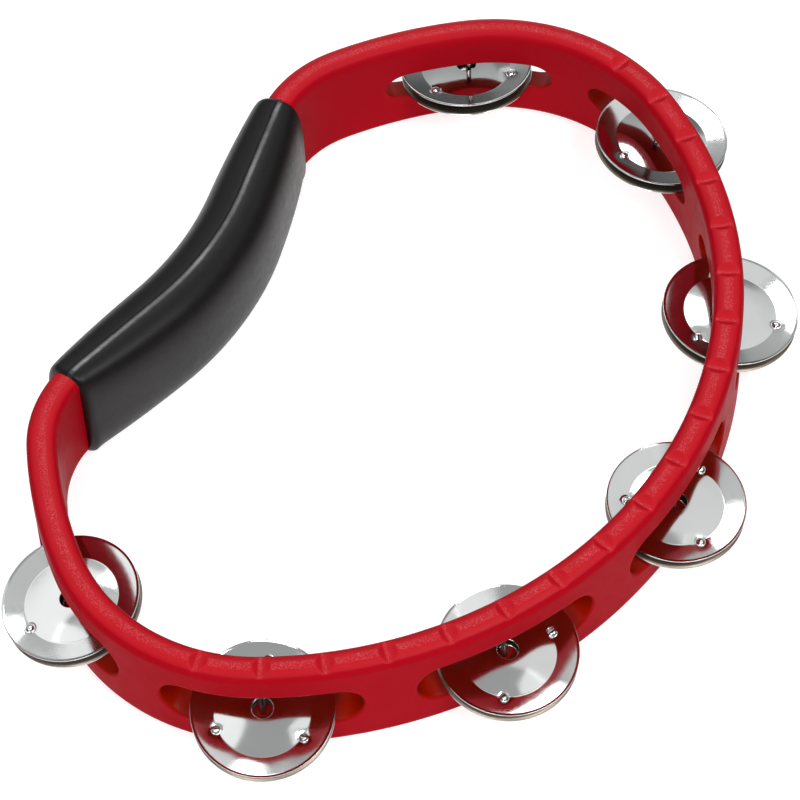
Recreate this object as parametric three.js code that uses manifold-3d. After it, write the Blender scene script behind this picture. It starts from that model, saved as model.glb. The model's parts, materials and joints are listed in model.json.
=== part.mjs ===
// A crescent-shaped hand tambourine. One moulded hoop carries seven pairs of steel
// jingles in slots, and its concave side is the handle, sleeved with a soft grip.
//
// Units are millimetres and +Z is up. The hoop lies level, its grooved crest upwards. The
// model's origin is the middle of its footprint, level with the underside of the grip.
//
// The hoop is described along its centreline: `along` is the distance round the hoop,
// counter-clockwise from the middle of the bow, `inwards` is the distance from the
// centreline towards the hoop's inside, and `up` is the height above its mid-height.

import * as THREE from 'three';
import { mergeVertices } from 'three/addons/utils/BufferGeometryUtils.js';
import Module from 'manifold-3d';

const wasm = await Module();
wasm.setup();

// ---------------------------------------------------------------------------
// Driving dimensions
// ---------------------------------------------------------------------------

// Half of the centreline, from the middle of the bow to the middle of the handle. The
// arcs are tangent to each other, and the handle's concave arc closes the outline.
const BOW_ARCS = [
  { radius: 165.3, turn: 60.0 },
  { radius: 72.7, turn: 68.1 },
  { radius: 171.2, turn: 16.8 },
  { radius: 42.9, turn: 48.4 },
];
const HANDLE_STRAIGHT = 38.9;

// The hoop's wall. Its crest is a shallow crown that rolls over into both faces; its
// lower edge is flat, with rounded corners.
const WALL = 11;
const HEIGHT = 43;
const CROWN_RADIUS = 8;
const CROWN_HALF_ANGLE = 30;
const CREST_CORNER = 3;
const FOOT_CORNER = 3;
const HOOP_STATIONS = 96;

// V-shaped finger grooves across the crest. A pin stands under every fourth groove.
const GROOVES_EACH_SIDE = 9;
const GROOVE_PITCH = 21.64;
const GROOVE_DEPTH = 1.1;
const GROOVE_STEEP_RUN = 2.4;
const GROOVE_GENTLE_RUN = 4.0;

// Slots and pins. A slot is taller at the outer face than at the inner one. Each pin is
// driven up from the lower edge, its head let into the edge. The two end pins, past the
// last grooves, stand a little nearer their neighbours.
const PAIRS = 7;
const END_PIN_SHIFT = 1.9;
const SLOT_LENGTH = 68;
const SLOT_OUTER_HEIGHT = 18;
const SLOT_INNER_HEIGHT = 12;
const PIN_RADIUS = 1.0;
const PIN_HEAD_RADIUS = 2.0;
const PIN_HEAD_DEPTH = 1.2;
const PIN_TIP = 17;

// A jingle is pressed from sheet: a dome round the hole, a valley, and a rim that rises
// again to the level of the dome's top.
const JINGLE_RADIUS = 25;
const JINGLE_SHEET = 0.5;
const JINGLE_VALLEY_RADIUS = 17.0;
const JINGLE_RIM_RISE = 1.7;
const JINGLE_DOME_RISE = 1.7;
const JINGLE_HOLE_RADIUS = 3.7;
const JINGLE_SIDES = 24;

// How each pair lies at rest. It has slid outwards by `shift` and along the hoop by
// `slip`, as far as its holes let it, and leans outwards by `lean` degrees.
const RESTS = [
  { shift: 1.1, slip: -0.4, lean: 11.0 },
  { shift: 1.4, slip: 0.0, lean: 12.5 },
  { shift: 1.9, slip: 0.3, lean: 8.5 },
  { shift: 1.5, slip: -0.9, lean: 5.6 },
  { shift: 1.3, slip: 0.3, lean: 7.0 },
  { shift: 1.0, slip: -0.5, lean: 7.4 },
  { shift: 1.3, slip: 0.6, lean: 10.7 },
];

// The soft grip over the handle, thinner towards its ends.
const GRIP_LENGTH = 149;
const GRIP_THICKNESS = 29.6;
const GRIP_END_THICKNESS = 21.6;
const GRIP_HEIGHT = 46;
const GRIP_CORNER = 10;
const GRIP_STATIONS = 20;

// Clearance between neighbours that touch or nearly touch.
const GAP = 0.3;

const radians = THREE.MathUtils.degToRad;

// ---------------------------------------------------------------------------
// The centreline
// ---------------------------------------------------------------------------

function halfPlan() {
  const pieces = BOW_ARCS.map(({ radius, turn }) => ({
    length: radius * radians(turn),
    turn: radians(turn),
  }));
  pieces.push({ length: HANDLE_STRAIGHT, turn: 0 });

  // The concave arc turns back to a heading straight across the axis of symmetry, and its
  // radius is the one that ends it on that axis.
  let y = 0;
  let heading = Math.PI / 2;
  for (const { length, turn } of pieces) {
    y += turn === 0
      ? length * Math.sin(heading)
      : (length / turn) * (Math.cos(heading) - Math.cos(heading + turn));
    heading += turn;
  }
  const back = 1.5 * Math.PI - heading;
  const radius = y / Math.cos(heading);
  pieces.push({ length: radius * Math.abs(back), turn: back });
  return pieces;
}

const HALF_PLAN = halfPlan();
const HALF_LENGTH = HALF_PLAN.reduce((sum, piece) => sum + piece.length, 0);

// The centreline's point and outward direction at a distance along the hoop.
function station(along) {
  let left = Math.abs(along);
  let x = 0;
  let y = 0;
  let heading = Math.PI / 2;
  for (const { length, turn } of HALF_PLAN) {
    const run = Math.min(left, length);
    const angle = turn * run / length;
    if (turn === 0) {
      x += run * Math.cos(heading);
      y += run * Math.sin(heading);
    } else {
      x += (length / turn) * (Math.sin(heading + angle) - Math.sin(heading));
      y += (length / turn) * (Math.cos(heading) - Math.cos(heading + angle));
    }
    heading += angle;
    left -= run;
  }
  const side = along < 0 ? -1 : 1;
  return {
    point: new THREE.Vector2(x, side * y),
    outward: new THREE.Vector2(Math.sin(heading), -side * Math.cos(heading)),
  };
}

// Moves every vertex of a geometry whose x, y and z are along, inwards and up to its
// place round the hoop.
function wrapRoundHoop(geometry) {
  const position = geometry.attributes.position;
  for (let i = 0; i < position.count; i += 1) {
    const { point, outward } = station(position.getX(i));
    const inwards = position.getY(i);
    position.setX(i, point.x - inwards * outward.x);
    position.setY(i, point.y - inwards * outward.y);
  }
  return geometry;
}

// ---------------------------------------------------------------------------
// Solids
// ---------------------------------------------------------------------------

function toManifold(geometry) {
  const bare = geometry.clone();
  bare.deleteAttribute('normal');
  bare.deleteAttribute('uv');
  const merged = mergeVertices(bare, 1e-4);
  return new wasm.Manifold(new wasm.Mesh({
    numProp: 3,
    vertProperties: new Float32Array(merged.attributes.position.array),
    triVerts: new Uint32Array(merged.index.array),
  }));
}

function toGeometry(manifold) {
  const { vertProperties, triVerts } = manifold.getMesh();
  const geometry = new THREE.BufferGeometry();
  geometry.setAttribute('position', new THREE.BufferAttribute(vertProperties, 3));
  geometry.setIndex(new THREE.BufferAttribute(triVerts, 1));
  geometry.computeVertexNormals();
  return geometry;
}

// Extrudes a shape drawn in along and up through the wall, from -reach to +reach.
function throughWall(shape, reach, curveSegments) {
  const geometry = new THREE.ExtrudeGeometry(shape, {
    depth: 2 * reach,
    steps: 1,
    bevelEnabled: false,
    curveSegments,
  });
  geometry.translate(0, 0, -reach);
  geometry.rotateX(Math.PI / 2);
  return geometry;
}

function cylinderUp(radius, low, high, sides) {
  const geometry = new THREE.CylinderGeometry(radius, radius, high - low, sides);
  geometry.rotateX(Math.PI / 2);
  geometry.translate(0, 0, (low + high) / 2);
  return geometry;
}

// ---------------------------------------------------------------------------
// Hoop
// ---------------------------------------------------------------------------

// Points of an arc in the plane of the wall's section, from one direction to another.
function arcPoints(centreOut, centreUp, radius, fromDegrees, toDegrees, steps) {
  return Array.from({ length: steps + 1 }, (_, i) => {
    const angle = radians(fromDegrees + (toDegrees - fromDegrees) * i / steps);
    return new THREE.Vector2(
      centreOut + radius * Math.cos(angle),
      centreUp + radius * Math.sin(angle),
    );
  });
}

// The wall's section, counter-clockwise from the foot of the outer face, grown by a
// margin all round.
function wallSection(margin) {
  const half = WALL / 2;
  const corner = half - CREST_CORNER;
  const crownCentre = HEIGHT / 2 - CROWN_RADIUS;
  const cornerUp = crownCentre
    + (CROWN_RADIUS - CREST_CORNER) * Math.cos(radians(CROWN_HALF_ANGLE));
  const footUp = FOOT_CORNER - HEIGHT / 2;
  const shoulder = 90 - CROWN_HALF_ANGLE;
  const outer = [
    ...arcPoints(half - FOOT_CORNER, footUp, FOOT_CORNER + margin, -90, 0, 2),
    ...arcPoints(corner, cornerUp, CREST_CORNER + margin, 0, shoulder, 2),
    ...arcPoints(0, crownCentre, CROWN_RADIUS + margin, shoulder, 90, 2).slice(1),
  ];
  const inner = outer.slice(0, -1).reverse().map((p) => new THREE.Vector2(-p.x, p.y));
  return [...outer, ...inner];
}

function pinAlong(index) {
  const place = index - (PAIRS - 1) / 2;
  const atEnd = Math.abs(place) === (PAIRS - 1) / 2;
  return place * 4 * GROOVE_PITCH - (atEnd ? Math.sign(place) * END_PIN_SHIFT : 0);
}

function slotCutter(along) {
  const radius = SLOT_OUTER_HEIGHT / 2;
  const straight = SLOT_LENGTH / 2 - radius;
  const shape = new THREE.Shape();
  const steps = 6;
  shape.moveTo(-straight, -radius);
  for (let i = 1; i <= steps; i += 1) {
    shape.lineTo(-straight + 2 * straight * i / steps, -radius);
  }
  shape.absarc(straight, 0, radius, -Math.PI / 2, Math.PI / 2);
  for (let i = 1; i <= steps; i += 1) {
    shape.lineTo(straight - 2 * straight * i / steps, radius);
  }
  shape.absarc(-straight, 0, radius, Math.PI / 2, 1.5 * Math.PI);
  const geometry = throughWall(shape, WALL, 4);

  // The slot's height changes evenly through the wall.
  const position = geometry.attributes.position;
  for (let i = 0; i < position.count; i += 1) {
    const depth = 0.5 + position.getY(i) / WALL;
    const height = THREE.MathUtils.lerp(SLOT_OUTER_HEIGHT, SLOT_INNER_HEIGHT, depth);
    position.setZ(i, position.getZ(i) * height / SLOT_OUTER_HEIGHT);
  }
  geometry.translate(along, 0, 0);
  return toManifold(wrapRoundHoop(geometry));
}

function grooveCutter(along) {
  const rise = 1;
  const reach = (GROOVE_DEPTH + rise) / GROOVE_DEPTH;
  const shape = new THREE.Shape([
    new THREE.Vector2(0, HEIGHT / 2 - GROOVE_DEPTH),
    new THREE.Vector2(GROOVE_GENTLE_RUN * reach, HEIGHT / 2 + rise),
    new THREE.Vector2(-GROOVE_STEEP_RUN * reach, HEIGHT / 2 + rise),
  ]);
  const geometry = throughWall(shape, WALL, 1);
  geometry.translate(along, 0, 0);
  return toManifold(wrapRoundHoop(geometry));
}

// The pin's hole: through the lower rail, across the slot and blind into the upper rail,
// with a seat for the head.
function pinHoleCutter(along) {
  const low = -HEIGHT / 2;
  const hole = cylinderUp(PIN_RADIUS + GAP, low - 1, PIN_TIP + GAP, 12);
  const seat = cylinderUp(PIN_HEAD_RADIUS + GAP, low - 1, low + PIN_HEAD_DEPTH + 2 * GAP, 16);
  const { point } = station(along);
  hole.translate(point.x, point.y, 0);
  seat.translate(point.x, point.y, 0);
  return toManifold(hole).add(toManifold(seat));
}

// The hoop starts as a plain ring turned from the wall's section, whose circumference is
// the centreline's length, and is then carried round the centreline.
function plainHoop() {
  const ringRadius = HALF_LENGTH / Math.PI;
  const section = wallSection(0);
  const profile = [...section, section[0]].map((p) => new THREE.Vector2(ringRadius + p.x, p.y));
  const ring = new THREE.LatheGeometry(profile, HOOP_STATIONS);
  const position = ring.attributes.position;
  for (let i = 0; i < position.count; i += 1) {
    const angle = Math.atan2(position.getX(i), position.getZ(i));
    const inwards = ringRadius - Math.hypot(position.getX(i), position.getZ(i));
    position.setXYZ(i, angle * ringRadius, inwards, position.getY(i));
  }
  return toManifold(wrapRoundHoop(ring));
}

function hoopGeometry() {
  let hoop = plainHoop();
  for (let i = 0; i < PAIRS; i += 1) {
    hoop = hoop.subtract(slotCutter(pinAlong(i)));
    hoop = hoop.subtract(pinHoleCutter(pinAlong(i)));
  }
  for (let i = -GROOVES_EACH_SIDE; i <= GROOVES_EACH_SIDE; i += 1) {
    hoop = hoop.subtract(grooveCutter(i * GROOVE_PITCH));
  }
  return toGeometry(hoop);
}

// ---------------------------------------------------------------------------
// Grip
// ---------------------------------------------------------------------------

function roundedRectangle(width, height, corner) {
  const x = width / 2 - corner;
  const y = height / 2 - corner;
  const shape = new THREE.Shape();
  shape.absarc(x, y, corner, 0, Math.PI / 2);
  shape.absarc(-x, y, corner, Math.PI / 2, Math.PI);
  shape.absarc(-x, -y, corner, Math.PI, 1.5 * Math.PI);
  shape.absarc(x, -y, corner, 1.5 * Math.PI, 2 * Math.PI);
  shape.closePath();
  return shape;
}

// A bar of constant section along the handle, from -reach to +reach either side of its
// middle, as x = along, y = inwards, z = up before it is bent.
function handleBar(shape, reach, steps, curveSegments) {
  const geometry = new THREE.ExtrudeGeometry(shape, {
    depth: 2 * reach,
    steps,
    bevelEnabled: false,
    curveSegments,
  });
  geometry.translate(0, 0, -reach);
  geometry.rotateX(Math.PI / 2);
  geometry.rotateZ(Math.PI / 2);
  return geometry;
}

// Along the handle, distances are measured from its middle, where the hoop's two ends of
// `along` meet.
function wrapRoundHandle(geometry) {
  const position = geometry.attributes.position;
  for (let i = 0; i < position.count; i += 1) {
    const fromMiddle = position.getX(i);
    const along = fromMiddle < 0 ? HALF_LENGTH + fromMiddle : fromMiddle - HALF_LENGTH;
    position.setX(i, along);
  }
  return wrapRoundHoop(geometry);
}

function gripGeometry() {
  const reach = GRIP_LENGTH / 2;
  const outer = handleBar(
    roundedRectangle(GRIP_THICKNESS, GRIP_HEIGHT, GRIP_CORNER),
    reach,
    GRIP_STATIONS,
    2,
  );
  // The grip keeps its thickness round its middle and thins ever faster towards its ends.
  const position = outer.attributes.position;
  for (let i = 0; i < position.count; i += 1) {
    const fromMiddle = Math.abs(position.getX(i)) / reach;
    const thickness = THREE.MathUtils.lerp(GRIP_THICKNESS, GRIP_END_THICKNESS, fromMiddle ** 3);
    position.setY(i, position.getY(i) * thickness / GRIP_THICKNESS);
  }
  const core = handleBar(new THREE.Shape(wallSection(GAP)), reach + 5, GRIP_STATIONS, 1);
  return toGeometry(toManifold(wrapRoundHandle(outer)).subtract(toManifold(wrapRoundHandle(core))));
}

// ---------------------------------------------------------------------------
// Jingles and pins
// ---------------------------------------------------------------------------

// The sheet's height above the valley at a distance from the jingle's axis.
function jingleRise(radius) {
  if (radius < JINGLE_VALLEY_RADIUS) {
    const inwards = (JINGLE_VALLEY_RADIUS - radius) / (JINGLE_VALLEY_RADIUS - JINGLE_HOLE_RADIUS);
    return JINGLE_DOME_RISE * Math.sin(0.5 * Math.PI * inwards);
  }
  const outwards = (radius - JINGLE_VALLEY_RADIUS) / (JINGLE_RADIUS - JINGLE_VALLEY_RADIUS);
  return JINGLE_RIM_RISE * outwards;
}

// The upper jingle of a pair, its valley's underside half a gap above z = 0. The lower
// one is the same pressing turned over.
function jingleGeometry(upper) {
  const radii = [
    JINGLE_HOLE_RADIUS,
    ...[0.45, 1].map((part) => (
      JINGLE_HOLE_RADIUS + part * (JINGLE_VALLEY_RADIUS - JINGLE_HOLE_RADIUS)
    )),
    JINGLE_RADIUS,
  ];
  const underside = radii.map((r) => new THREE.Vector2(r, GAP / 2 + jingleRise(r)));
  const top = underside.map((p) => new THREE.Vector2(p.x, p.y + JINGLE_SHEET)).reverse();
  const profile = [...underside, ...top, underside[0]];
  const geometry = new THREE.LatheGeometry(profile, JINGLE_SIDES);
  geometry.rotateX(upper ? Math.PI / 2 : -Math.PI / 2);
  return geometry;
}

// A headed pin, from its head in the lower edge to its tip in the upper rail.
function pinGeometry() {
  const low = GAP - HEIGHT / 2;
  const neck = low + PIN_HEAD_DEPTH;
  const profile = [
    new THREE.Vector2(0, low),
    new THREE.Vector2(PIN_HEAD_RADIUS, low),
    new THREE.Vector2(PIN_HEAD_RADIUS, neck),
    new THREE.Vector2(PIN_RADIUS, neck),
    new THREE.Vector2(PIN_RADIUS, PIN_TIP - PIN_RADIUS / 2),
    new THREE.Vector2(0, PIN_TIP),
  ];
  const geometry = new THREE.LatheGeometry(profile, 12);
  geometry.rotateX(Math.PI / 2);
  return geometry;
}

// ---------------------------------------------------------------------------
// Materials
// ---------------------------------------------------------------------------

const redPlastic = new THREE.MeshStandardMaterial({
  color: 0xc2202c, roughness: 0.42, metalness: 0,
});
const blackRubber = new THREE.MeshStandardMaterial({
  color: 0x2c2a2b, roughness: 0.6, metalness: 0,
});
const steel = new THREE.MeshStandardMaterial({
  color: 0xc9c8c6, roughness: 0.25, metalness: 1,
});

// ---------------------------------------------------------------------------
// Assembly
// ---------------------------------------------------------------------------

function named(name, geometry, material) {
  const mesh = new THREE.Mesh(geometry, material.clone());
  mesh.name = name;
  return mesh;
}

// Where a pair rests: the leaning lower jingle just clears the inner edge of the slot's
// floor, which is the floor's highest part.
function restingPair(index) {
  const { shift, slip } = RESTS[index];
  const lean = radians(RESTS[index].lean);
  const { point, outward } = station(pinAlong(index));
  const pairDepth = GAP / 2 + JINGLE_RIM_RISE + JINGLE_SHEET;
  const floor = -SLOT_INNER_HEIGHT / 2 + GAP;
  const group = new THREE.Group();
  group.position.set(
    point.x + shift * outward.x - slip * outward.y,
    point.y + shift * outward.y + slip * outward.x,
    floor + pairDepth / Math.cos(lean) - (WALL / 2 + shift) * Math.tan(lean),
  );
  const hinge = new THREE.Vector3(-outward.y, outward.x, 0);
  group.quaternion.setFromAxisAngle(hinge, lean);
  return group;
}

const hoop = new THREE.Group();
hoop.add(named('frame', hoopGeometry(), redPlastic));
hoop.add(named('grip', gripGeometry(), blackRubber));
for (let i = 0; i < PAIRS; i += 1) {
  const pin = named(`pin_${i + 1}`, pinGeometry(), steel);
  const { point } = station(pinAlong(i));
  pin.position.set(point.x, point.y, 0);
  hoop.add(pin);

  const pair = restingPair(i);
  pair.add(named(`jingle_upper_${i + 1}`, jingleGeometry(true), steel));
  pair.add(named(`jingle_lower_${i + 1}`, jingleGeometry(false), steel));
  hoop.add(pair);
}

// The origin is the middle of the footprint, level with the lowest point.
hoop.updateMatrixWorld(true);
const box = new THREE.Box3().setFromObject(hoop, true);
const middle = box.getCenter(new THREE.Vector3());
hoop.position.set(-middle.x, -middle.y, -box.min.z);

const tambourine = new THREE.Group();
tambourine.add(hoop);

export default tambourine;
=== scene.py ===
import json
import math

import bmesh
import bpy
import numpy as np
from mathutils import Matrix, Vector


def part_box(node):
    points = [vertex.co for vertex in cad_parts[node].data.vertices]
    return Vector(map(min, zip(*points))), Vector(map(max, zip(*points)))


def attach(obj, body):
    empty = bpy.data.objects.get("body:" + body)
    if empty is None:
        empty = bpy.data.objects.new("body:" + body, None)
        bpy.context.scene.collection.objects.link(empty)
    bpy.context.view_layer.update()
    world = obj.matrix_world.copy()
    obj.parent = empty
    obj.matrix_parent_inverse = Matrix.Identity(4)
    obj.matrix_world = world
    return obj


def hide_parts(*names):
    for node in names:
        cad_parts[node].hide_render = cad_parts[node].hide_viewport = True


# The looks of a crescent-shaped hand tambourine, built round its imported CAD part.
#
# Shapes are worked out in millimetres and become metres when their mesh is made. The hoop
# is described as in the CAD part: `along` is the distance round its centreline from the
# middle of the bow, `inwards` the distance from the centreline towards its inside, and
# `up` the height above its mid-height.

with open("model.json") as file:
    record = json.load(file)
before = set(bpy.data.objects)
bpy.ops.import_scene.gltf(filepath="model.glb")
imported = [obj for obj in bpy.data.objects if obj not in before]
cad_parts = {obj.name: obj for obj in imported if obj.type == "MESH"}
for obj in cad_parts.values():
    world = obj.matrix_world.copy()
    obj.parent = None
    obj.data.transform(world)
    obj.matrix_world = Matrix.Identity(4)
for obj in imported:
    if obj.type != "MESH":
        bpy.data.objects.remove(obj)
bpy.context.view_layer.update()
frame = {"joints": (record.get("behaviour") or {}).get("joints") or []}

MM = 0.001

# ---------------------------------------------------------------------------
# Driving dimensions
# ---------------------------------------------------------------------------

# These are the CAD part's own, apart from the grooves, which are cut 0.2 mm deeper here.

BOW_ARCS = [(165.3, 60.0), (72.7, 68.1), (171.2, 16.8), (42.9, 48.4)]
HANDLE_STRAIGHT = 38.9

WALL = 11.0
HEIGHT = 43.0
CROWN_RADIUS = 8.0
CROWN_HALF_ANGLE = 30.0
CREST_CORNER = 3.0
FOOT_CORNER = 3.0

GROOVES_EACH_SIDE = 9
GROOVE_PITCH = 21.64
GROOVE_DEPTH = 1.3
GROOVE_STEEP_RUN = 2.4
GROOVE_GENTLE_RUN = 4.0

PAIRS = 7
# Each pin's share of the hoop, its cell, is four grooves long.
CELL_HALF = 2 * GROOVE_PITCH
END_PIN_SHIFT = 1.9
SLOT_LENGTH = 68.0
SLOT_OUTER_HEIGHT = 18.0
SLOT_INNER_HEIGHT = 12.0

PIN_RADIUS = 1.0
PIN_HEAD_RADIUS = 2.0
PIN_HEAD_DEPTH = 1.2
PIN_TIP = 17.0

JINGLE_RADIUS = 25.0
JINGLE_SHEET = 0.5
JINGLE_VALLEY_RADIUS = 17.0
JINGLE_RIM_RISE = 1.7
JINGLE_DOME_RISE = 1.7
JINGLE_HOLE_RADIUS = 3.7
GAP = 0.3

GRIP_LENGTH = 149.0
GRIP_THICKNESS = 29.6
GRIP_END_THICKNESS = 21.6
GRIP_HEIGHT = 46.0

# ---------------------------------------------------------------------------
# The centreline
# ---------------------------------------------------------------------------


def half_plan():
    """(length, turn) of each piece of half the centreline, bow to handle."""
    pieces = [(radius * math.radians(turn), math.radians(turn)) for radius, turn in BOW_ARCS]
    pieces.append((HANDLE_STRAIGHT, 0.0))
    y = 0.0
    heading = math.pi / 2
    for length, turn in pieces:
        if turn:
            y += length / turn * (math.cos(heading) - math.cos(heading + turn))
        else:
            y += length * math.sin(heading)
        heading += turn
    back = 1.5 * math.pi - heading
    radius = y / math.cos(heading)
    pieces.append((radius * abs(back), back))
    return pieces


HALF_PLAN = half_plan()
HALF_LENGTH = sum(length for length, turn in HALF_PLAN)

hoop_low, hoop_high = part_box("frame")
APEX = np.array([
    hoop_high.x / MM - WALL / 2,
    (hoop_low.y + hoop_high.y) / 2 / MM,
    (hoop_low.z + hoop_high.z) / 2 / MM,
])


def centreline(along):
    """The centreline's points and outward directions at distances along the hoop."""
    side = np.where(along < 0, -1.0, 1.0)
    left = np.abs(along)
    x = np.zeros_like(left)
    y = np.zeros_like(left)
    heading = np.full_like(left, math.pi / 2)
    for length, turn in HALF_PLAN:
        run = np.clip(left, 0, length)
        angle = turn * run / length
        if turn:
            radius = length / turn
            x += radius * (np.sin(heading + angle) - np.sin(heading))
            y += radius * (np.cos(heading) - np.cos(heading + angle))
        else:
            x += run * np.cos(heading)
            y += run * np.sin(heading)
        heading = heading + angle
        left = left - run
    points = np.column_stack([x, side * y])
    outward = np.column_stack([np.sin(heading), -side * np.cos(heading)])
    return points, outward


def round_hoop(coords):
    """Carries (along, inwards, up) points to their place round the hoop."""
    along = (coords[:, 0] + HALF_LENGTH) % (2 * HALF_LENGTH) - HALF_LENGTH
    points, outward = centreline(along)
    flat = points - coords[:, 1:2] * outward
    return np.column_stack([flat, coords[:, 2]]) + APEX


def cell_along(index):
    """The middle of a pin's cell."""
    return (index - (PAIRS - 1) / 2) * 2 * CELL_HALF


def pin_along(index):
    """A pin's place; the two end pins stand a little nearer their neighbours."""
    shift = {0: END_PIN_SHIFT, PAIRS - 1: -END_PIN_SHIFT}
    return cell_along(index) + shift.get(index, 0.0)


def pin_place(index):
    """The point at mid-height on a pin's axis."""
    return round_hoop(np.array([[pin_along(index), 0.0, 0.0]]))[0]


# ---------------------------------------------------------------------------
# Meshes
# ---------------------------------------------------------------------------


class Shell:
    """Grids of points gathered into one surface."""

    def __init__(self):
        self.points = []
        self.faces = []
        self.count = 0

    def add(self, grid, closed_rows=False, closed_columns=False):
        """Adds a grid of points, joined up with four-sided faces."""
        rows, columns = grid.shape[:2]
        for r in range(rows if closed_rows else rows - 1):
            for c in range(columns if closed_columns else columns - 1):
                r2 = (r + 1) % rows
                c2 = (c + 1) % columns
                self.faces.append((
                    self.count + r * columns + c,
                    self.count + r * columns + c2,
                    self.count + r2 * columns + c2,
                    self.count + r2 * columns + c,
                ))
        self.points.append(grid.reshape(-1, 3))
        self.count += rows * columns

    def coordinates(self):
        return np.vstack(self.points)


def finish_mesh(bm, mesh):
    """Turns the faces outwards, smooths them and keeps them in the mesh."""
    bmesh.ops.recalc_face_normals(bm, faces=bm.faces)
    for face in bm.faces:
        face.smooth = True
    bm.to_mesh(mesh)
    bm.free()
    return mesh


def make_mesh(name, points, faces, weld=0.0, **marks):
    """A mesh from points in millimetres.

    Each mark is a number for every point, kept under its name for the material to read.
    """
    mesh = bpy.data.meshes.new(name)
    mesh.from_pydata((points * MM).tolist(), [], faces)
    for mark, values in marks.items():
        mesh.attributes.new(mark, "FLOAT", "POINT").data.foreach_set("value", values)
    bm = bmesh.new()
    bm.from_mesh(mesh)
    if weld:
        bmesh.ops.remove_doubles(bm, verts=bm.verts, dist=weld * MM)
    return finish_mesh(bm, mesh)


def add_lathe(bm, profile, sides, centre):
    """Turns a profile of (radius, up), which starts and ends on the axis, about +Z."""
    rings = []
    for radius, up in profile:
        count = sides if radius else 1
        rings.append([
            bm.verts.new(Vector((
                centre[0] + radius * math.cos(2 * math.pi * k / sides),
                centre[1] + radius * math.sin(2 * math.pi * k / sides),
                centre[2] + up,
            )) * MM)
            for k in range(count)
        ])
    for low, high in zip(rings, rings[1:]):
        for k in range(sides):
            corners = [
                low[k % len(low)],
                low[(k + 1) % len(low)],
                high[(k + 1) % len(high)],
                high[k % len(high)],
            ]
            bm.faces.new(list(dict.fromkeys(corners)))


def link_object(name, data):
    """A new object in the scene."""
    made = bpy.data.objects.new(name, data)
    bpy.context.scene.collection.objects.link(made)
    return made


def axes_at(x_axis, y_axis, z_axis, place):
    """The matrix that stands an object's own axes along these ones, at this place."""
    rows = [tuple(row) for row in zip(x_axis, y_axis, z_axis, place)]
    return Matrix(rows + [(0, 0, 0, 1)])


def make_piece(name, mesh, body, node, material):
    """A visible piece, which rides on a body and stands for a CAD node."""
    piece = link_object(name, mesh)
    if not mesh.materials:
        mesh.materials.append(material)
    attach(piece, body)
    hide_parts(node)
    return piece


def arc(centre_out, centre_up, radius, start, end, steps):
    """Points (inwards, up) of an arc in the wall's section; angles are from outwards."""
    angles = np.radians(np.linspace(start, end, steps + 1))
    return np.column_stack([
        -(centre_out + radius * np.cos(angles)),
        centre_up + radius * np.sin(angles),
    ])


# ---------------------------------------------------------------------------
# Materials
# ---------------------------------------------------------------------------


# A Mix node's colour sockets go by number, as its other sockets have the same names.
MIX_A = 6
MIX_B = 7
MIX_RESULT = 2


class Shader:
    """A Principled material whose nodes are added by name.

    Noise scales are in patches per metre, and bump distances are in metres.
    """

    def __init__(self, name, **settings):
        self.material = bpy.data.materials.new(name)
        self.material.use_nodes = True
        self.tree = self.material.node_tree
        self.shader = self.tree.nodes["Principled BSDF"]
        for socket, value in settings.items():
            self.shader.inputs[socket.replace("_", " ")].default_value = value
        self.coordinates = self.node("ShaderNodeTexCoord").outputs["Object"]

    def node(self, kind, inputs=None, **properties):
        made = self.tree.nodes.new(kind)
        for name, value in properties.items():
            setattr(made, name, value)
        for name, value in (inputs or {}).items():
            if isinstance(value, bpy.types.NodeSocket):
                self.tree.links.new(value, made.inputs[name])
            else:
                made.inputs[name].default_value = value
        return made

    def mark(self, name):
        """The number that each point of the mesh carries under this name."""
        return self.node("ShaderNodeAttribute", attribute_name=name).outputs["Fac"]

    def facing_up(self):
        """The upward part of the surface's normal, from -1 to 1."""
        return self.node("ShaderNodeSeparateXYZ", {
            "Vector": self.node("ShaderNodeNewGeometry").outputs["Normal"],
        }).outputs["Z"]

    def noise(self, scale, detail=2.0, roughness=0.5, vector=None):
        return self.node("ShaderNodeTexNoise", {
            "Vector": vector or self.coordinates,
            "Scale": scale,
            "Detail": detail,
            "Roughness": roughness,
        }).outputs["Fac"]

    def remap(self, value, low, high, to_low, to_high):
        return self.node("ShaderNodeMapRange", {
            "Value": value,
            "From Min": low,
            "From Max": high,
            "To Min": to_low,
            "To Max": to_high,
        }).outputs["Result"]

    def maths(self, operation, a, b):
        return self.node("ShaderNodeMath", {0: a, 1: b}, operation=operation).outputs[0]

    def blend(self, factor, a, b):
        return self.node("ShaderNodeMix", {
            "Factor": factor,
            MIX_A: a,
            MIX_B: b,
        }, data_type="RGBA").outputs[MIX_RESULT]

    def mottle(self, scale, detail, dark, light):
        """A colour that wanders between two tones."""
        return self.blend(self.noise(scale, detail), dark, light)

    def bump(self, height, strength, distance, normal=None):
        inputs = {"Height": height, "Strength": strength, "Distance": distance}
        if normal is not None:
            inputs["Normal"] = normal
        return self.node("ShaderNodeBump", inputs).outputs["Normal"]

    def drive(self, socket, value):
        """Links a value to the Principled shader."""
        self.tree.links.new(value, self.shader.inputs[socket])


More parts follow.
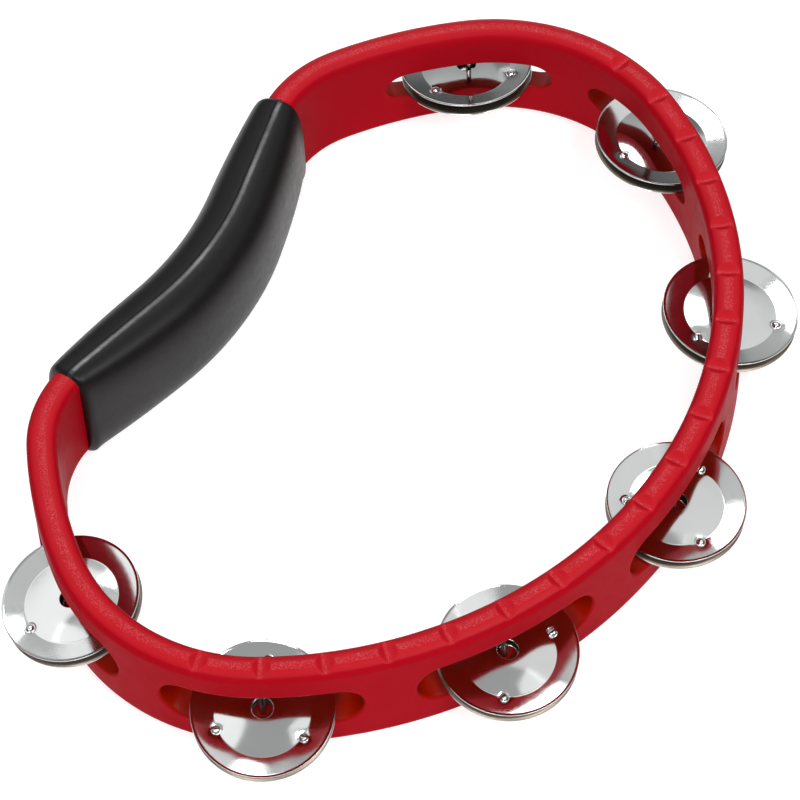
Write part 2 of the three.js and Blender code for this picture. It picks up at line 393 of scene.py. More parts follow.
def red_plastic():
    """Satin moulded plastic, with a spark-eroded strip along the top of its crest. Its colour
    carries painted shade on the walls and in the slots, a painted lighter top, and painted
    glints on the strip.
    """
    s = Shader("red_plastic", IOR=1.5)
    slot_painted_shade = (0.20, 0.0040, 0.0002, 1)
    painted_glint_pink = (0.62, 0.28, 0.30, 1)
    upward = s.facing_up()
    crest = s.remap(upward, 0.80, 0.95, 0, 1)
    strip = s.remap(upward, 0.972, 0.990, 0, 1)
    # Painted shade and light: the walls get a darker red than the upward-facing crest, and the
    # crest a lighter red, for how the light falls on them.
    shaded_wall_red = s.mottle(45, 3, (0.255, 0.0016, 0.0060, 1), (0.290, 0.0025, 0.0085, 1))
    top = s.mottle(45, 3, (0.335, 0.0022, 0.0075, 1), (0.380, 0.0034, 0.0105, 1))
    # Painted shade: the slots' walls get a much darker red, for the shade inside them.
    body = s.blend(s.mark("slot"), s.blend(crest, shaded_wall_red, top), slot_painted_shade)
    # The strip's fine specks are painted glints: pale pink put into the colour where they catch
    # the light, more in some patches than in others.
    patchy = s.remap(s.noise(150, 2), 0.35, 0.60, 0.55, 1)
    speck = s.remap(s.noise(2600, 1), 0.53, 0.64, 0, 1)
    painted_sparkle = s.maths("MULTIPLY", s.maths("MULTIPLY", speck, patchy), strip)
    s.drive("Base Color", s.blend(s.maths("MULTIPLY", painted_sparkle, 0.17), body, painted_glint_pink))
    rough = s.remap(s.noise(160, 4), 0.3, 0.7, 0.36, 0.46)
    s.drive("Roughness", s.maths("SUBTRACT", rough, s.maths("MULTIPLY", strip, 0.06)))
    s.drive("Specular IOR Level", s.remap(crest, 0, 1, 0.012, 0.13))
    satin = s.bump(s.noise(700, 3), 0.10, 0.0002)
    eroded = s.maths("MULTIPLY", s.noise(2400, 3, 0.7), strip)
    s.drive("Normal", s.bump(eroded, 0.4, 0.0002, satin))
    return s.material


def black_rubber():
    """Soft-touch elastomer with a moulding seam, rubbed glossy beside it by the hand. Its sides
    carry painted light, lighter than its top.
    """
    s = Shader("black_rubber", IOR=1.5)
    seam_black = (0.0015, 0.0015, 0.0015, 1)
    inwards = s.mark("inwards")
    upward = s.facing_up()
    seam = s.remap(s.maths("ABSOLUTE", inwards, 0.0), 0.10, 0.30, 1, 0)
    beside = s.maths("ABSOLUTE", s.maths("SUBTRACT", inwards, GRIP_RIDGE_AT), 0.0)
    worn = s.remap(s.noise(40, 2), 0.35, 0.65, 0.4, 1)
    rubbed = s.maths("MULTIPLY", s.remap(beside, 0.3, 1.3, 1, 0), worn)
    # Painted light: the sides get a lighter, warm grey than the top, for the light they catch
    # from the floor below.
    top = s.mottle(60, 3, (0.0036, 0.0033, 0.0035, 1), (0.0060, 0.0055, 0.0058, 1))
    side = s.mottle(60, 3, (0.0095, 0.0082, 0.0085, 1), (0.0140, 0.0122, 0.0126, 1))
    tone_with_painted_side_light = s.blend(s.remap(upward, 0.1, 0.6, 0, 1), side, top)
    s.drive("Base Color", s.blend(seam, tone_with_painted_side_light, seam_black))
    matt = s.remap(s.noise(350, 5, 0.65), 0.3, 0.7, 0.32, 0.44)
    s.drive("Roughness", s.maths("SUBTRACT", matt, s.maths("MULTIPLY", rubbed, 0.16)))
    skin = s.remap(upward, 0.0, 0.6, 0.14, 0.17)
    s.drive("Specular IOR Level", s.maths("ADD", skin, s.maths("MULTIPLY", rubbed, 0.80)))
    fine = s.bump(s.noise(1900, 3), 0.10, 0.0002)
    s.drive("Normal", s.bump(s.maths("SUBTRACT", 0.0, seam), 0.8, 0.0004, fine))
    return s.material


def jingle_steel():
    """Polished pressed sheet, faintly rippled outside and left rougher on its inside, where
    painted shade darkens it.
    """
    s = Shader("jingle_steel", Metallic=1.0)
    inside = s.mark("inside")
    polished = s.mottle(90, 3, (0.565, 0.580, 0.575, 1), (0.620, 0.635, 0.630, 1))
    # Painted shade: the faces of a pair that face each other get a dark brown, for the shade in
    # the gap between them.
    inside_painted_shade = s.mottle(120, 4, (0.14, 0.118, 0.096, 1), (0.23, 0.195, 0.160, 1))
    s.drive("Base Color", s.blend(inside, polished, inside_painted_shade))
    rough = s.remap(s.noise(420, 6, 0.7), 0.25, 0.75, 0.08, 0.13)
    s.drive("Roughness", s.maths("ADD", rough, s.maths("MULTIPLY", inside, 0.28)))
    ripple = s.bump(s.noise(120, 1), 0.06, 0.0006)
    s.drive("Normal", s.bump(s.noise(2400, 2), 0.08, 0.0001, ripple))
    return s.material


def pin_steel():
    """Drawn wire, with fine lines along its length."""
    s = Shader("pin_steel", Metallic=1.0)
    lines = s.node("ShaderNodeMapping", {
        "Vector": s.coordinates,
        "Scale": (6000, 6000, 60),
    }).outputs["Vector"]
    drawn = s.noise(1.0, 3, vector=lines)
    s.drive("Base Color", s.blend(drawn, (0.30, 0.29, 0.28, 1), (0.40, 0.39, 0.38, 1)))
    s.drive("Roughness", s.remap(drawn, 0.3, 0.7, 0.18, 0.32))
    s.drive("Normal", s.bump(drawn, 0.15, 0.00005))
    return s.material


# ---------------------------------------------------------------------------
# Hoop
# ---------------------------------------------------------------------------

HALF_WALL = WALL / 2
CREST_CORNER_OUT = HALF_WALL - CREST_CORNER
CROWN_CENTRE = HEIGHT / 2 - CROWN_RADIUS
CREST_CORNER_UP = (
    CROWN_CENTRE
    + (CROWN_RADIUS - CREST_CORNER) * math.cos(math.radians(CROWN_HALF_ANGLE))
)
FOOT_UP = FOOT_CORNER - HEIGHT / 2

# The flat faces end a little before each rounding, so that the shading turns within it.
LEAD = 0.5
FACE_TOP = CREST_CORNER_UP - LEAD
FACE_BOTTOM = FOOT_UP + LEAD
SIDE_LEVELS = np.linspace(FACE_TOP, FACE_BOTTOM, 13)
HANDLE_STATIONS = 111

# The slots' edges are rounded over, more on the outer face than on the inner one.
OUTER_EDGE = 1.2
INNER_EDGE = 0.5
SLOT_TIP = SLOT_OUTER_HEIGHT / 2
SLOT_STRAIGHT = SLOT_LENGTH / 2 - SLOT_TIP
# How far across the face, from the slot to the cell's boundary, each row of points lies.
FACE_SHARES = (0.0, 0.15, 0.4, 0.7, 1.0)

# A groove's valley is rounded, its gentle flank is scooped so that the lip is a
# half-moon, and its lips are softened.
GROOVE_VALLEY = 0.18
GROOVE_SCOOP = 1.7
GROOVE_SOFTNESS = 0.16

# The room round and above each pin's head in its seat, and round and above the pin.
HEAD_SEAT_GAP = 0.15
HEAD_SEAT_ROOM = 0.4
PIN_HOLE_GAP = 0.12
PIN_HOLE_ROOM = 0.3

ROUND_SIDES = 32
# Points of the hoop's mesh nearer than this become one.
WELD = 0.002


def crest_section():
    """The crowned top of the wall's section, from its outer face to its inner one."""
    shoulder = 90 - CROWN_HALF_ANGLE
    return np.vstack([
        [(-HALF_WALL, FACE_TOP)],
        arc(CREST_CORNER_OUT, CREST_CORNER_UP, CREST_CORNER, 0, shoulder, 6),
        arc(0, CROWN_CENTRE, CROWN_RADIUS, shoulder, 180 - shoulder, 14)[1:-1],
        arc(-CREST_CORNER_OUT, CREST_CORNER_UP, CREST_CORNER, 180 - shoulder, 180, 6),
        [(HALF_WALL, FACE_TOP)],
    ])


def foot_section():
    """The rounded foot of the wall's section, from its inner face to its outer one."""
    return np.vstack([
        [(HALF_WALL, FACE_BOTTOM)],
        arc(FOOT_CORNER - HALF_WALL, FOOT_UP, FOOT_CORNER, 180, 270, 6),
        arc(HALF_WALL - FOOT_CORNER, FOOT_UP, FOOT_CORNER, 270, 360, 6),
        [(-HALF_WALL, FACE_BOTTOM)],
    ])


def grooved(along, up):
    """Cuts the crest's heights down into the finger grooves."""
    nearest = np.round(along / GROOVE_PITCH)
    offset = along - nearest * GROOVE_PITCH
    run = np.where(offset > 0, GROOVE_GENTLE_RUN, GROOVE_STEEP_RUN)
    share = (np.sqrt(offset ** 2 + GROOVE_VALLEY ** 2) - GROOVE_VALLEY) / run
    rise = GROOVE_DEPTH * np.where(offset > 0, share ** GROOVE_SCOOP, share)
    cut = HEIGHT / 2 - GROOVE_DEPTH + rise
    cut = np.where(np.abs(nearest) > GROOVES_EACH_SIDE, HEIGHT, cut)
    # The lower of the two heights, with a soft turn from one to the other.
    mix = np.clip(0.5 + 0.5 * (cut - up) / GROOVE_SOFTNESS, 0, 1)
    return mix * up + (1 - mix) * cut - GROOVE_SOFTNESS * mix * (1 - mix)


def sweep(stations, section):
    """A grid of the section's points at each station along the hoop."""
    along = np.repeat(stations[:, None], len(section), axis=1)
    inwards = np.repeat(section[None, :, 0], len(stations), axis=0)
    up = np.repeat(section[None, :, 1], len(stations), axis=0)
    return np.stack([along, inwards, grooved(along, up)], axis=2)


def pitch_stations():
    """Stations from one groove's valley to the next, closer together on the flanks."""
    margin = 1.0
    gentle_end = GROOVE_GENTLE_RUN + margin
    steep_start = GROOVE_PITCH - GROOVE_STEEP_RUN - margin
    return np.concatenate([
        np.linspace(0, gentle_end, 11),
        np.linspace(gentle_end, steep_start, 6)[1:],
        np.linspace(steep_start, GROOVE_PITCH, 9)[1:-1],
    ])


def cell_stations(centre):
    """Stations across one cell, two grooves either side of its middle."""
    steps = [centre + k * GROOVE_PITCH + pitch_stations() for k in (-2, -1, 0, 1)]
    return np.concatenate(steps + [[centre + CELL_HALF]])


def cell_boundary(stations, centre):
    """The points round a cell's face, each with its base and angle on the slot.

    A point beside the slot's straight part faces it squarely. The points beyond a tip have
    the tip's centre as their base, and share its half turn by their distance round the face.
    """
    tip_path = 2 * (CELL_HALF - SLOT_STRAIGHT) + FACE_TOP - FACE_BOTTOM
    offsets = stations - centre
    points = np.array(
        [(a, FACE_TOP) for a in offsets]
        + [(CELL_HALF, u) for u in SIDE_LEVELS[1:-1]]
        + [(a, FACE_BOTTOM) for a in offsets[::-1]]
        + [(-CELL_HALF, u) for u in SIDE_LEVELS[-2:0:-1]]
    )
    bases = np.zeros(len(points))
    angles = np.zeros(len(points))
    for i, (a, u) in enumerate(points):
        side = 1 if a > 0 else -1
        if abs(a) <= SLOT_STRAIGHT:
            bases[i] = a
            angles[i] = 90 if u > 0 else -90
            continue
        bases[i] = side * SLOT_STRAIGHT
        if u == FACE_TOP:
            path = abs(a) - SLOT_STRAIGHT
        elif u == FACE_BOTTOM:
            path = tip_path - (abs(a) - SLOT_STRAIGHT)
        else:
            path = CELL_HALF - SLOT_STRAIGHT + FACE_TOP - u
        angles[i] = 90 - side * 180 * path / tip_path
    return points, bases, np.radians(angles)


def slot_outline(bases, angles, offset, inwards):
    """The slot's outline at a depth in the wall, grown by an offset."""
    depth = 0.5 + inwards / WALL
    height = SLOT_OUTER_HEIGHT + (SLOT_INNER_HEIGHT - SLOT_OUTER_HEIGHT) * depth
    tall = SLOT_TIP * height / SLOT_OUTER_HEIGHT
    return np.column_stack([
        bases + (SLOT_TIP + offset) * np.cos(angles),
        (tall + offset) * np.sin(angles),
    ])


def cell_face(stations, centre, pin):
    """A cell's outer face, the slot through the wall and the inner face, as one grid."""
    boundary, bases, angles = cell_boundary(stations, centre)
    rings = []

    def face_ring(share, offset, inwards):
        """A ring at a share of the way out from the slot's outline to the boundary."""
        outline = slot_outline(bases, angles, offset, inwards) + (pin - centre, 0)
        flat = share * boundary + (1 - share) * outline
        rings.append(np.column_stack([flat[:, 0], np.full(len(flat), inwards), flat[:, 1]]))

    for share in reversed(FACE_SHARES):
        face_ring(share, OUTER_EDGE + LEAD, -HALF_WALL)
    for angle in np.radians(np.linspace(0, 90, 7)):
        inwards = -HALF_WALL + OUTER_EDGE * (1 - math.cos(angle))
        face_ring(0, OUTER_EDGE * (1 - math.sin(angle)), inwards)
    for inwards in np.linspace(OUTER_EDGE - HALF_WALL, HALF_WALL - INNER_EDGE, 5)[1:-1]:
        face_ring(0, 0, inwards)
    for angle in np.radians(np.linspace(90, 0, 6)):
        inwards = HALF_WALL - INNER_EDGE * (1 - math.cos(angle))
        face_ring(0, INNER_EDGE * (1 - math.sin(angle)), inwards)
    for share in FACE_SHARES:
        face_ring(share, INNER_EDGE + LEAD, HALF_WALL)
    grid = np.stack(rings)
    grid[:, :, 0] += centre
    return grid


def pin_hole_cutter():
    """The pins' holes and the seats for their heads, joined into one object."""
    bm = bmesh.new()
    below = -HEIGHT / 2 - 1
    seat_radius = PIN_HEAD_RADIUS + HEAD_SEAT_GAP
    seat_top = -HEIGHT / 2 + PIN_HEAD_DEPTH + HEAD_SEAT_ROOM
    hole_radius = PIN_RADIUS + PIN_HOLE_GAP
    hole_top = PIN_TIP + PIN_HOLE_ROOM
    profile = [
        (0, below),
        (seat_radius, below),
        (seat_radius, seat_top),
        (hole_radius, seat_top),
        (hole_radius, hole_top),
        (0, hole_top),
    ]
    for i in range(PAIRS):
        add_lathe(bm, profile, ROUND_SIDES, pin_place(i))
    return link_object("pin_holes", finish_mesh(bm, bpy.data.meshes.new("pin_holes")))


def hoop_mesh():
    """The hoop without its pin holes: seven cells and the stretch through the handle."""
    shell = Shell()
    crest = crest_section()
    foot = foot_section()
    for i in range(PAIRS):
        centre = cell_along(i)
        stations = cell_stations(centre)
        shell.add(cell_face(stations, centre, pin_along(i)), closed_columns=True)
        shell.add(sweep(stations, crest))
        shell.add(sweep(stations, foot))

    # The rest of the hoop, through the handle, is a plain sweep of the whole section.
    reach = PAIRS * CELL_HALF
    stations = np.linspace(reach, 2 * HALF_LENGTH - reach, HANDLE_STATIONS)
    side = SIDE_LEVELS[1:-1]
    outer = np.column_stack([np.full(len(side), -HALF_WALL), side[::-1]])
    inner = np.column_stack([np.full(len(side), HALF_WALL), side])
    section = np.vstack([outer, crest, inner, foot])
    shell.add(sweep(stations, section), closed_columns=True)
    flat = shell.coordinates()
    # The mark is 1 on the slots' walls, which lie inside the wall and near mid-height; the red
    # material paints shade there.
    slot = np.clip((HALF_WALL - np.abs(flat[:, 1])) / INNER_EDGE, 0, 1)
    slot *= np.abs(flat[:, 2]) < SLOT_TIP + OUTER_EDGE
    return make_mesh("hoop", round_hoop(flat), shell.faces, weld=WELD, slot=slot)


def cut_with(piece, cutter):
    """Takes the cutter's solid out of the piece's mesh."""
    modifier = piece.modifiers.new("cut", "BOOLEAN")
    modifier.object = cutter
    modifier.operation = "DIFFERENCE"
    modifier.solver = "EXACT"
    bpy.context.view_layer.update()
    graph = bpy.context.evaluated_depsgraph_get()
    mesh = bpy.data.meshes.new_from_object(piece.evaluated_get(graph))
    piece.modifiers.clear()
    piece.data = mesh
    bpy.data.objects.remove(cutter)


# ---------------------------------------------------------------------------
# Grip
# ---------------------------------------------------------------------------

GRIP_POINTS = 144
GRIP_STATIONS = 81
BORE_STATIONS = 61
GRIP_SQUARENESS = 3.8
# A soft ridge runs along the grip, this far inwards of the seam.
GRIP_RIDGE_AT = 1.2
GRIP_RIDGE_WIDTH = 1.3
GRIP_RIDGE_SLOPE = 0.11
GRIP_CROWN_BEND = 0.0165
GRIP_LIP = 2.4
GRIP_BORE_GAP = 0.12
# The grip's sides stay this far within the CAD part's.
GRIP_SLACK = 0.08
# It thins towards its ends with this power of the distance from its middle.
GRIP_TAPER = 3
GRIP_END_PINCH = 1.2
GRIP_FLARE = 1.6
GRIP_FLARE_LENGTH = 4.5


def turns_round(count):
    """Angles all the way round, none of them on an axis."""
    return np.linspace(0, 2 * np.pi, count, endpoint=False) + np.pi / count


def grip_section(half_thickness, half_height):
    """A rounded oval whose top and bottom are crowned, with a soft ridge beside the seam."""
    turns = turns_round(GRIP_POINTS)
    power = 2 / GRIP_SQUARENESS
    inwards = half_thickness * np.sign(np.cos(turns)) * np.abs(np.cos(turns)) ** power
    up = half_height * np.sign(np.sin(turns)) * np.abs(np.sin(turns)) ** power
    off_ridge = inwards - GRIP_RIDGE_AT
    drop = GRIP_CROWN_BEND / 2 * off_ridge ** 2
    drop += GRIP_RIDGE_SLOPE * GRIP_RIDGE_WIDTH * np.log(np.cosh(off_ridge / GRIP_RIDGE_WIDTH))
    return np.column_stack([inwards, up - np.sign(up) * drop])


def bore_section():
    """The hoop's own section, grown a little, with as many points as the grip's."""
    section = np.vstack([
        crest_section(),
        [(HALF_WALL, 0.0)],
        foot_section(),
        [(-HALF_WALL, 0.0)],
    ])
    section *= 1 + GRIP_BORE_GAP / np.array([HALF_WALL, HEIGHT / 2])
    angles = np.arctan2(section[:, 1] / HEIGHT, section[:, 0] / WALL)
    order = np.argsort(angles)
    wanted = turns_round(GRIP_POINTS)
    wanted = np.where(wanted > np.pi, wanted - 2 * np.pi, wanted)
    inwards = np.interp(wanted, angles[order], section[order, 0], period=2 * np.pi)
    up = np.interp(wanted, angles[order], section[order, 1], period=2 * np.pi)
    return np.column_stack([inwards, up])


def grip_mesh():
    """The sleeve, along its outside with its rounded ends, and back through its bore."""
    reach = GRIP_LENGTH / 2
    straight = reach - GRIP_LIP
    # Each row is (distance from the middle, inset of the section).
    end = [
        (straight + GRIP_LIP * math.sin(a), GRIP_LIP * (1 - math.cos(a)))
        for a in np.radians(np.linspace(90, 0, 7))[:-1]
    ]
    outline = [(-x, inset) for x, inset in end]
    outline += [(x, 0.0) for x in np.linspace(-straight, straight, GRIP_STATIONS)]
    outline += end[::-1]
    rows = []
    for x, inset in outline:
        share = min(1.0, abs(x) / reach) ** GRIP_TAPER
        thickness = GRIP_THICKNESS + (GRIP_END_THICKNESS - GRIP_THICKNESS) * share
        section = grip_section(thickness / 2 - inset - GRIP_SLACK, GRIP_HEIGHT / 2 - inset)
        # Towards its ends the grip's inner side draws in, and its lower corner flares out.
        flare = GRIP_FLARE * math.exp(-((reach - abs(x)) / GRIP_FLARE_LENGTH) ** 2)
        inner = np.clip(2 * section[:, 0] / thickness, 0, 1)
        low = np.clip(-2 * section[:, 1] / GRIP_HEIGHT, 0, 1)
        section[:, 0] += inner * (flare * inner * low ** 2 - GRIP_END_PINCH * share)
        rows.append(np.column_stack([np.full(len(section), x), section]))
    bore = bore_section()
    for x in np.linspace(reach, -reach, BORE_STATIONS):
        rows.append(np.column_stack([np.full(len(bore), x), bore]))
    shell = Shell()
    shell.add(np.stack(rows), closed_rows=True, closed_columns=True)
    flat = shell.coordinates()
    flat[:, 0] += HALF_LENGTH
    return make_mesh("grip", round_hoop(flat), shell.faces, inwards=flat[:, 1].copy())


# ---------------------------------------------------------------------------
# Jingles and pins
# ---------------------------------------------------------------------------

NIBS = 3
NIB_CIRCLE = 17.4
NIB_RADIUS = 1.4
NIB_HEIGHT = 1.1
NIB_DISH = 0.28
NIB_DISH_RADIUS = 3.8
# A shallow moat runs round each nib. Its depth is a share of the nib's height, and its
# place and width are in nib radii.
NIB_MOAT = 0.14
NIB_MOAT_AT = 1.25
NIB_MOAT_WIDTH = 0.25
# The mesh is finer this far round each nib.
NIB_REACH = 1.7 * NIB_RADIUS
LIP_RADIUS = 0.26
RIM_ROUND = 0.12
# The rim stays this far within the CAD part's.
RIM_INSET = 0.06
# How far each sheet is set off, so that the dishes of a pair clear each other.
DISH_ROOM = 0.15


def sheet_rise(radius):
    """The sheet's height above its valley: a soft dome inside it, a straight flange outside."""
    inside = np.clip(
        (JINGLE_VALLEY_RADIUS - radius) / (JINGLE_VALLEY_RADIUS - JINGLE_HOLE_RADIUS), 0, 1,
    )
    outside = np.clip(
        (radius - JINGLE_VALLEY_RADIUS) / (JINGLE_RADIUS - JINGLE_VALLEY_RADIUS), 0, 1,
    )
    return JINGLE_DOME_RISE * np.sin(0.5 * np.pi * inside) + JINGLE_RIM_RISE * outside


def nib_lift(x, y):
    """How far the nibs, the moats and the dishes round them raise the sheet at a place."""
    lift = np.zeros_like(x)
    for k in range(NIBS):
        at = 2 * np.pi * k / NIBS
        distance = np.hypot(x - NIB_CIRCLE * np.cos(at), y - NIB_CIRCLE * np.sin(at))
        reach = distance / NIB_RADIUS
        bump = np.sqrt(np.clip(1 - reach ** 2, 0, 1))
        moat = NIB_MOAT * np.exp(-((reach - NIB_MOAT_AT) / NIB_MOAT_WIDTH) ** 2)
        dish = NIB_DISH * np.exp(-(distance / NIB_DISH_RADIUS) ** 2)
        lift += NIB_HEIGHT * (bump - moat) - dish
    return lift


def jingle_angles():
    """Angles round a jingle in radians, closer together across its nibs."""
    nib_half = math.degrees(NIB_REACH / NIB_CIRCLE)
    angles = []
    for k in range(NIBS):
        middle = 360 * k / NIBS
        angles += list(np.linspace(middle - nib_half, middle + nib_half, 19))
        free = np.linspace(middle + nib_half, middle + 360 / NIBS - nib_half, 20)
        angles += list(free[1:-1])
    return np.radians(angles)


def jingle_profile():
    """Rows of (radius, height, share of the nib's lift, inside), round the sheet."""
    lip = JINGLE_HOLE_RADIUS + 2 * LIP_RADIUS
    edge = JINGLE_SHEET / 2
    rim_radius = JINGLE_RADIUS - RIM_INSET
    sheet_radii = np.concatenate([
        np.linspace(lip, NIB_CIRCLE - NIB_REACH, 12),
        np.linspace(NIB_CIRCLE - NIB_REACH, NIB_CIRCLE + NIB_REACH, 18)[1:],
        np.linspace(NIB_CIRCLE + NIB_REACH, rim_radius - RIM_ROUND, 6)[1:],
    ])
    base = GAP / 2 + DISH_ROOM
    profile = [(r, base + sheet_rise(r) + JINGLE_SHEET, 1.0, 0.0) for r in sheet_radii]
    rim = base + JINGLE_RIM_RISE + edge
    for angle in np.radians(np.linspace(75, -75, 8)):
        out = RIM_ROUND * math.cos(angle)
        profile.append((rim_radius - RIM_ROUND + out, rim + edge * math.sin(angle), 0.0, 0.0))
    profile += [(r, base + sheet_rise(r), 1.0, 1.0) for r in sheet_radii[::-1]]
    # The hole's edge is rolled into a bead.
    bead_up = base + JINGLE_DOME_RISE + edge
    for angle in np.radians(np.linspace(-75, -285, 10)):
        profile.append((
            JINGLE_HOLE_RADIUS + LIP_RADIUS + LIP_RADIUS * math.cos(angle),
            bead_up + LIP_RADIUS * math.sin(angle),
            0.0,
            0.0,
        ))
    return np.array(profile)


def jingle_shape():
    """An upper jingle about its own axis, one nib on +X: its points, faces and insides."""
    angles = jingle_angles()
    profile = jingle_profile()
    radius = np.repeat(profile[None, :, 0], len(angles), axis=0)
    turn = np.repeat(angles[:, None], len(profile), axis=1)
    x = radius * np.cos(turn)
    y = radius * np.sin(turn)
    z = profile[None, :, 1] + nib_lift(x, y) * profile[None, :, 2]
    inside = np.repeat(profile[None, :, 3], len(angles), axis=0)
    shell = Shell()
    shell.add(np.stack([x, y, z], axis=2), closed_rows=True, closed_columns=True)
    return shell.coordinates(), shell.faces, inside.ravel()


# Each jingle has come to rest turned its own way, in degrees from the pair's outward side.
UPPER_TURNS = [10, 54, 86, 88, 105, 63, 10]
LOWER_TURNS = [75, 25, 95, 35, 100, 5, 65]


def pair_matrix(joint, turn, flipped):
    """Stands a jingle on its pair's axis, turned about it, and upside down if flipped."""
    axis = Vector(joint["axis"]).normalized()
    outward = Vector((axis.x, axis.y, 0)).normalized()
    across = axis.cross(outward).normalized()
    place = axes_at(across.cross(axis), across, axis, joint["pos_m"])
    spin = Matrix.Rotation(math.radians(turn), 4, "Z")
    over = Matrix.Rotation(math.pi, 4, "X") if flipped else Matrix.Identity(4)
    return place @ spin @ over


# The head's domed underside, as (radius, height), and the domed tip, as (radius, depth).
HEAD_DOME = [(0, 0), (1.2, 0), (1.6, 0.08), (1.88, 0.25), (PIN_HEAD_RADIUS, 0.5)]
TIP_DOME = [(PIN_RADIUS, 0.6), (0.9, 0.3), (0.6, 0.1), (0, 0)]
PIN_BEVEL = 0.1


def pin_mesh():
    """A headed pin about its own axis, its heights from the hoop's mid-height."""
    low = GAP - HEIGHT / 2
    neck = low + PIN_HEAD_DEPTH
    wire_end = PIN_TIP - TIP_DOME[0][1]
    profile = [(radius, low + up) for radius, up in HEAD_DOME]
    profile += [(PIN_HEAD_RADIUS, neck - PIN_BEVEL), (PIN_HEAD_RADIUS - PIN_BEVEL, neck)]
    profile += [(PIN_RADIUS + PIN_BEVEL, neck), (PIN_RADIUS, neck + PIN_BEVEL)]
    profile += [(PIN_RADIUS, up) for up in np.linspace(neck + 1, wire_end, 24)[:-1]]
    profile += [(radius, PIN_TIP - depth) for radius, depth in TIP_DOME]
    bm = bmesh.new()
    add_lathe(bm, profile, ROUND_SIDES, (0, 0, 0))
    return finish_mesh(bm, bpy.data.meshes.new("pin"))


# ---------------------------------------------------------------------------
# The object
# ---------------------------------------------------------------------------

hoop = make_piece(
    "hoop_shell", hoop_mesh(), "hoop", "frame", red_plastic(),
)
cut_with(hoop, pin_hole_cutter())

make_piece("grip_sleeve", grip_mesh(), "hoop", "grip", black_rubber())

pin_shape = pin_mesh()
pin_finish = pin_steel()
jingle_points, jingle_faces, jingle_inside = jingle_shape()
jingle_finish = jingle_steel()
joints = {joint["name"]: joint for joint in frame["joints"]}
for i in range(PAIRS):
    number = i + 1
    pin = make_piece(
        f"pin_wire_{number}", pin_shape, "hoop", f"pin_{number}", pin_finish,
    )
    pin.location = Vector(pin_place(i)) * MM
    for half, turn in (("upper", UPPER_TURNS[i]), ("lower", LOWER_TURNS[i])):
        place = np.array(pair_matrix(joints[f"spin_{number}"], turn, half == "lower"))
        points = jingle_points @ place[:3, :3].T + place[:3, 3] / MM
        disc_name = f"jingle_disc_{half}_{number}"
        make_piece(
            disc_name,
            make_mesh(disc_name, points, jingle_faces, inside=jingle_inside),
            f"{half}_{number}",
            f"jingle_{half}_{number}",
            jingle_finish,
        )

# ---------------------------------------------------------------------------
# Camera, floor and light
# ---------------------------------------------------------------------------

# Angles are in degrees. The distance, the target, the lens and the sensor are in
# millimetres, and everything else here is in metres.
VIEW_AZIMUTH = 32.72
VIEW_ELEVATION = 54.13
VIEW_ROLL = -2.94
VIEW_DISTANCE = 1426.2
VIEW_TARGET = APEX + np.array([-105.34, -12.19, 0.0])
VIEW_LENS = 178.5
VIEW_SENSOR = 36
VIEW_SHIFT = (0.0019, 0.0020)
VIEW_CLIP_END = 60

FLOOR_SIZE = 24.0
FLOOR_DROP = 0.0002
FLOOR_GLOW = 0.60

LAMP_DISTANCE = 3.0

# The surround's strength, from a low height of the view direction to a high one.
SKY_HEIGHTS = (0.25, 0.70)
SKY_STRENGTHS = (0.12, 0.50)


def make_camera():
    """The camera, at its azimuth and elevation round the target and rolled a little."""
    azimuth = math.radians(VIEW_AZIMUTH)
    elevation = math.radians(VIEW_ELEVATION)
    back = Vector((
        math.sin(azimuth) * math.cos(elevation),
        -math.cos(azimuth) * math.cos(elevation),
        math.sin(elevation),
    ))
    right = Vector((math.cos(azimuth), math.sin(azimuth), 0))
    above = back.cross(right)
    roll = math.radians(VIEW_ROLL)
    rolled_right = right * math.cos(roll) + above * math.sin(roll)
    rolled_above = above * math.cos(roll) - right * math.sin(roll)
    eye = Vector(VIEW_TARGET) * MM + back * VIEW_DISTANCE * MM
    camera = link_object("camera", bpy.data.cameras.new("camera"))
    camera.matrix_world = axes_at(rolled_right, rolled_above, back, eye)
    camera.data.sensor_width = VIEW_SENSOR
    camera.data.lens = VIEW_LENS
    camera.data.shift_x, camera.data.shift_y = VIEW_SHIFT
    camera.data.clip_end = VIEW_CLIP_END
    return camera


def floor_paper():
    """White paper with a faint mottle. Its own glow stands for the light under it."""
    s = Shader("floor_paper", Roughness=0.8, Specular_IOR_Level=0.1)
    s.drive("Base Color", s.mottle(3, 2, (0.56, 0.56, 0.56, 1), (0.60, 0.60, 0.60, 1)))
    s.shader.inputs["Emission Color"].default_value = (1, 1, 1, 1)
    s.shader.inputs["Emission Strength"].default_value = FLOOR_GLOW
    return s.material


def make_floor():
    """A square of paper just under the object."""
    half = FLOOR_SIZE / 2
    corners = [(-half, -half, 0), (half, -half, 0), (half, half, 0), (-half, half, 0)]
    mesh = bpy.data.meshes.new("floor")
    mesh.from_pydata(corners, [], [(0, 1, 2, 3)])
    mesh.materials.append(floor_paper())
    floor = link_object("floor", mesh)
    floor.location.z = -FLOOR_DROP
    return floor


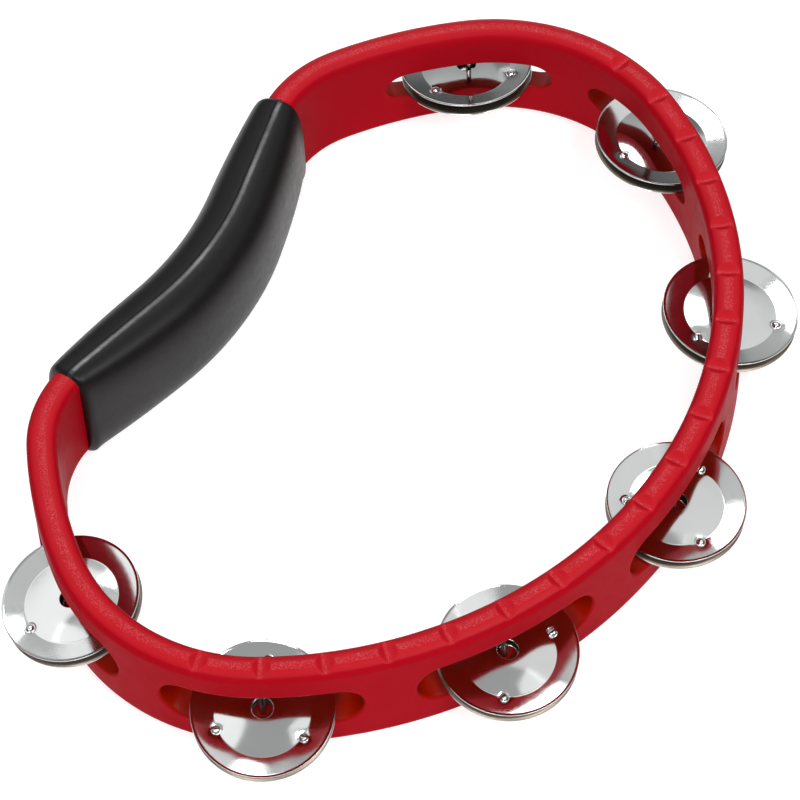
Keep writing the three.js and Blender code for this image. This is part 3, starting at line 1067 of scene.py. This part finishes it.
def softbox(name, heading, size, radiance):
    """A soft panel facing the object. Its heading is (right, far) in degrees from overhead."""
    angle = math.radians(math.hypot(*heading))
    bearing = math.atan2(heading[1], heading[0])
    direction = Vector((
        math.sin(angle) * math.cos(bearing),
        math.sin(angle) * math.sin(bearing),
        math.cos(angle),
    ))
    across = Vector((0, 1, 0)).cross(direction).normalized()
    light = bpy.data.lights.new(name, "AREA")
    light.shape = "RECTANGLE"
    light.size, light.size_y = size
    light.energy = math.pi * radiance * size[0] * size[1]
    lamp = link_object(name, light)
    lamp.matrix_world = axes_at(
        across, direction.cross(across), direction, direction * LAMP_DISTANCE,
    )


def make_world():
    """A soft pale surround, dimmer towards the horizon than overhead."""
    world = bpy.data.worlds.new("studio")
    world.use_nodes = True
    nodes = world.node_tree.nodes
    links = world.node_tree.links
    direction = nodes.new("ShaderNodeTexCoord")
    height = nodes.new("ShaderNodeSeparateXYZ")
    fade = nodes.new("ShaderNodeMapRange")
    fade.inputs["From Min"].default_value = SKY_HEIGHTS[0]
    fade.inputs["From Max"].default_value = SKY_HEIGHTS[1]
    fade.inputs["To Min"].default_value = SKY_STRENGTHS[0]
    fade.inputs["To Max"].default_value = SKY_STRENGTHS[1]
    links.new(direction.outputs["Generated"], height.inputs[0])
    links.new(height.outputs["Z"], fade.inputs["Value"])
    links.new(fade.outputs["Result"], nodes["Background"].inputs["Strength"])
    nodes["Background"].inputs["Color"].default_value = (1, 1, 1, 1)
    return world


bpy.context.scene.camera = make_camera()
floor = make_floor()

# A panel's radiance is how bright it looks in a mirror.
softbox("left_panel", (-44, 3), (1.5, 2.5), 0.92)
softbox("left_wing", (-20, -16), (1.2, 0.9), 0.90)
softbox("centre_panel", (-17, 6), (0.85, 1.2), 0.30)
softbox("bright_panel", (-18, 30), (0.90, 0.95), 5.5)
softbox("right_panel", (10, 38), (2.1, 2.9), 0.52)
softbox("right_wing", (22, 6), (0.85, 0.85), 0.72)
softbox("back_panel", (-36, 46), (2.2, 1.7), 0.20)
softbox("front_key", (10, -46), (1.4, 1.2), 9.0)
softbox("right_key", (37, -6), (1.2, 1.2), 11.2)

bpy.context.scene.world = make_world()
bpy.context.scene.view_settings.view_transform = "Standard"
